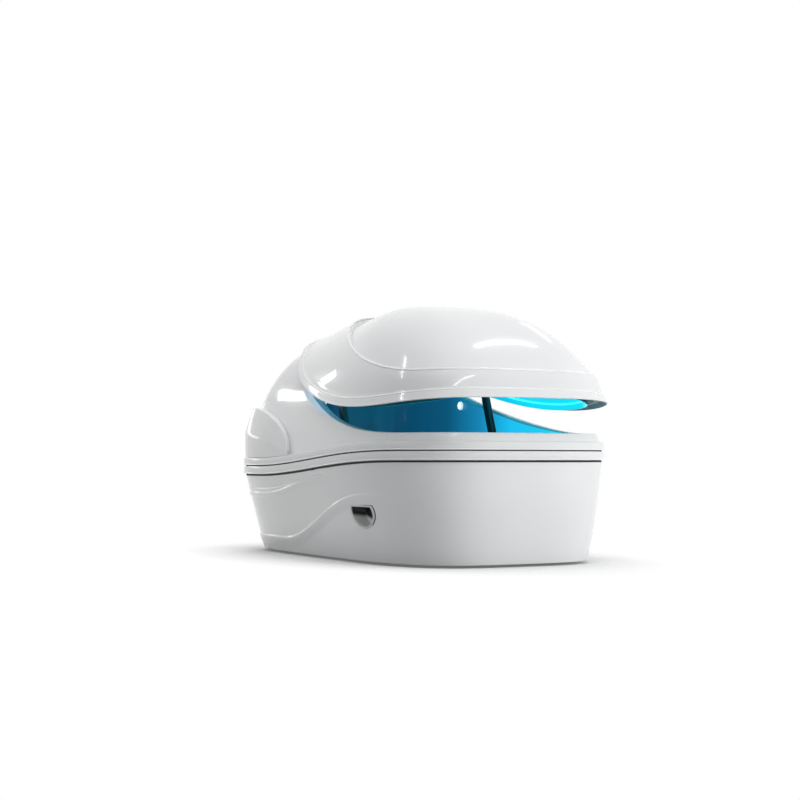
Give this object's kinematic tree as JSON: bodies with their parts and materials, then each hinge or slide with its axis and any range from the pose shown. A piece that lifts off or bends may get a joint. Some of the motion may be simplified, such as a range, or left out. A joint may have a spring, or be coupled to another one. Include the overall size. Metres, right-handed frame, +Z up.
{
  "type": "steam sauna capsule",
  "caption": "Reclining steam pod: skirted oval base, domed rear hood and a clamshell lid on gas struts, standing ajar over a blue tub with a lounger.",
  "frame": {"origin": "on the floor under the centre of the capsule's bounding box", "axes": "+X towards the open front of the pod, where the lid lifts; +Z up; the side the picture shows most is -Y"},
  "size_m": [2.2264, 1.2466, 1.2422],
  "materials": {
    "gelcoat_white": "high-gloss white gelcoat",
    "acrylic_blue": "glossy blue acrylic",
    "rubber_black": "matt black rubber",
    "rubber_grey": "matt dark grey rubber",
    "bed_plastic": "satin moulded plastic",
    "headrest_vinyl": "soft vinyl",
    "frame_paint": "powder coat",
    "bright_steel": "brushed",
    "strut_paint": "satin black paint",
    "rod_chrome": "polished",
    "grip_plastic": "satin grey plastic",
    "light_diffuser": "translucent lit diffuser",
    "lamp_plastic": "gloss white",
    "lamp_glass": "frosted lens",
    "tank_plastic": "natural moulded plastic",
    "box_plastic": "matt dark plastic"
  },
  "bodies": {
    "base": {"base_skirt": "gelcoat_white", "bed_panel": "bed_plastic", "bed_support_front": "bed_plastic", "bed_support_rear": "bed_plastic", "chassis_frame": "frame_paint", "control_box": "box_plastic", "drain_fitting": "box_plastic", "foot_front_far": "rubber_black", "foot_front_near": "rubber_black", "foot_rear_far": "rubber_black", "foot_rear_near": "rubber_black", "grip_cup_far": "grip_plastic", "grip_cup_near": "grip_plastic", "headrest": "headrest_vinyl", "hinge_bracket_far": "bright_steel", "hinge_bracket_near": "bright_steel", "hinge_pin_far": "bright_steel", "hinge_pin_near": "bright_steel", "lamp_bezel_far": "lamp_plastic", "lamp_bezel_near": "lamp_plastic", "lamp_lens_far": "lamp_glass", "lamp_lens_near": "lamp_glass", "rear_service_cover": "gelcoat_white", "rim_gasket": "rubber_black", "steam_boiler": "bright_steel", "steam_nozzle": "bright_steel", "steam_pipe": "bright_steel", "strut_lower_bracket_far": "bright_steel", "strut_lower_bracket_near": "bright_steel", "tub_liner": "acrylic_blue", "upper_shell": "gelcoat_white", "water_tank": "tank_plastic"},
    "lid": {"lid_shell": "gelcoat_white", "lid_seal": "rubber_grey", "lid_liner": "acrylic_blue", "lid_light_strip": "light_diffuser", "hinge_arm_near": "strut_paint", "hinge_arm_far": "strut_paint", "strut_upper_bracket_near": "bright_steel", "strut_upper_bracket_far": "bright_steel"},
    "cylinder_near": {"strut_cylinder_near": "strut_paint"},
    "rod_near": {"strut_rod_near": "rod_chrome"},
    "cylinder_far": {"strut_cylinder_far": "strut_paint"},
    "rod_far": {"strut_rod_far": "rod_chrome"}
  },
  "joints": [
    {"name": "lid_hinge", "type": "hinge", "parent": "base", "child": "lid", "pos_m": [-0.71317, 0, 0.95], "axis": [0, -1, 0], "range_deg": [-5.38, 22.9]},
    {"name": "strut_swing_near", "type": "hinge", "parent": "lid", "child": "cylinder_near", "pos_m": [0.02883, -0.42, 0.875], "axis": [0, -1, 0], "range_deg": [-28.7, 6.8]},
    {"name": "strut_slide_near", "type": "slide", "parent": "cylinder_near", "child": "rod_near", "axis": [0.3314, 0, -0.9435], "range_m": [-0.068, 0.288]},
    {"name": "strut_swing_far", "type": "hinge", "parent": "lid", "child": "cylinder_far", "pos_m": [0.02883, 0.42, 0.875], "axis": [0, -1, 0], "range_deg": [-28.7, 6.8]},
    {"name": "strut_slide_far", "type": "slide", "parent": "cylinder_far", "child": "rod_far", "axis": [0.3314, 0, -0.9435], "range_m": [-0.068, 0.288]}
  ],
  "couplings": [
    {"joint": "strut_swing_near", "follows": "lid_hinge", "ratio": -1.249},
    {"joint": "strut_slide_near", "follows": "lid_hinge", "m_per_rad": 0.7186},
    {"joint": "strut_swing_far", "follows": "lid_hinge", "ratio": -1.249},
    {"joint": "strut_slide_far", "follows": "lid_hinge", "m_per_rad": 0.7186}
  ]
}
